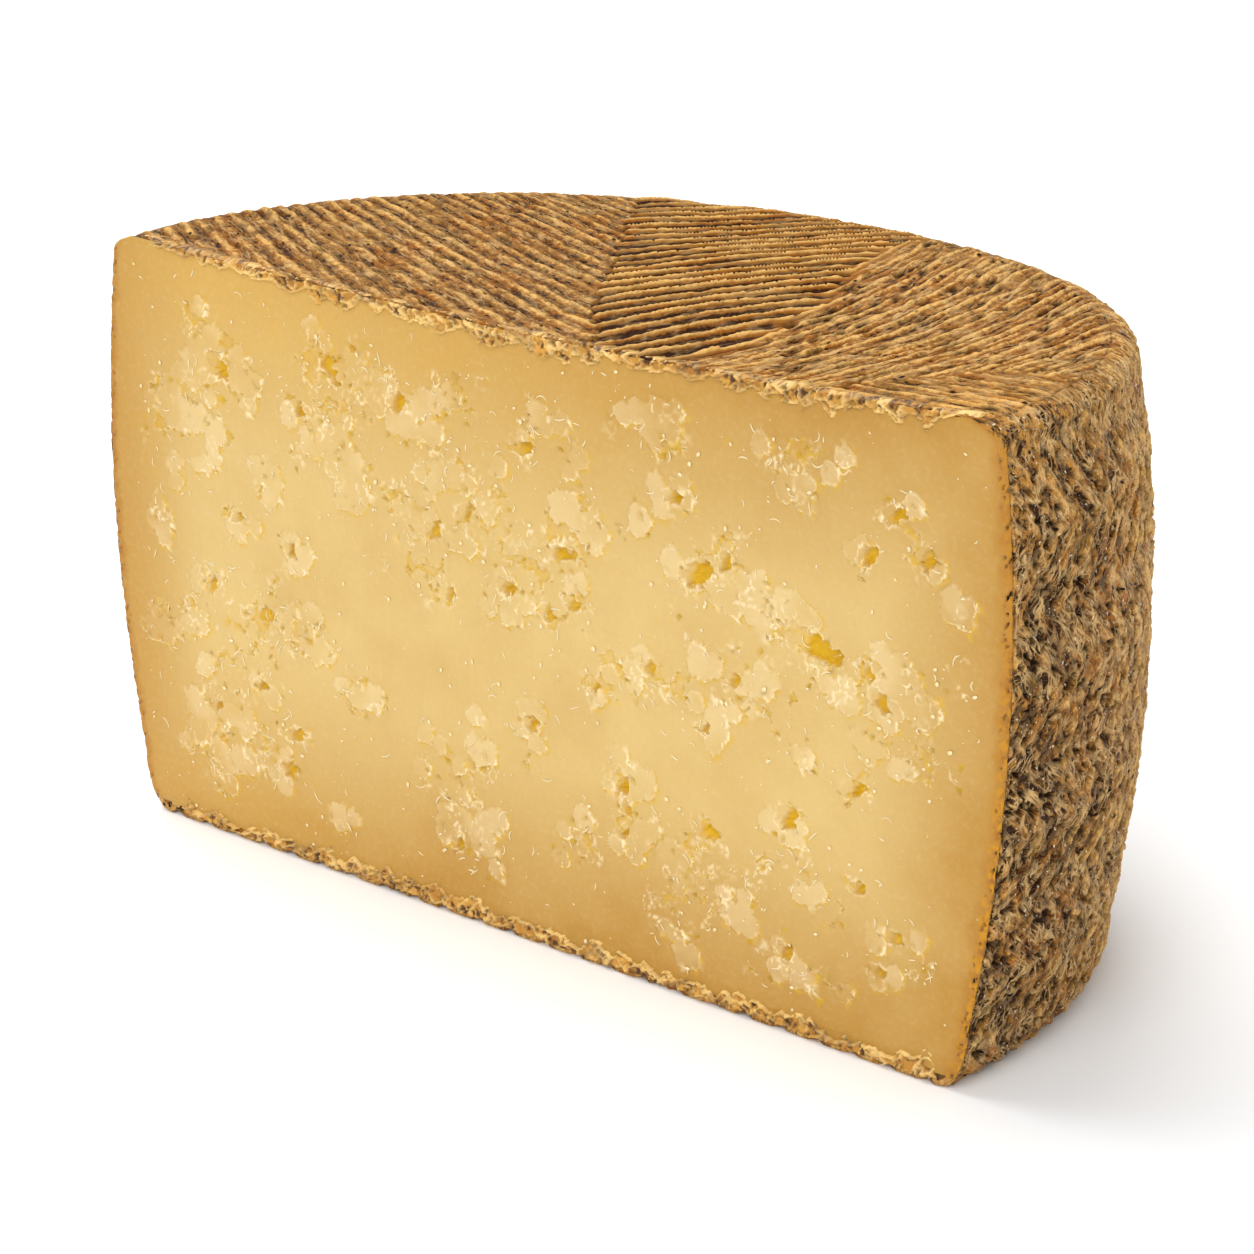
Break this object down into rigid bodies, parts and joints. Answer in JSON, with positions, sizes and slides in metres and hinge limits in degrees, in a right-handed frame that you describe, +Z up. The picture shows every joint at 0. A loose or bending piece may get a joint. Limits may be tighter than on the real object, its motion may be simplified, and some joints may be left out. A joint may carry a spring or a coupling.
{
  "type": "half cheese wheel",
  "caption": "Half of a pressed cheese wheel standing on its base, with a brown, plait-marked rind and a pale yellow cut face with small eyes and torn flakes.",
  "frame": {"origin": "on the ground, under the middle of the half wheel's box", "axes": "+X along the cut face to the right as seen from the cut, +Y from the cut face to the round back, +Z up from the base"},
  "size_m": [0.2042, 0.0964, 0.1126],
  "materials": {
    "rind": "dry, fibrous, brown natural rind with pressed-in ridges",
    "paste": "firm, slightly waxy, pale yellow cheese paste"
  },
  "bodies": {
    "root": {"cheese_half_wheel": "rind"}
  },
  "joints": []
}
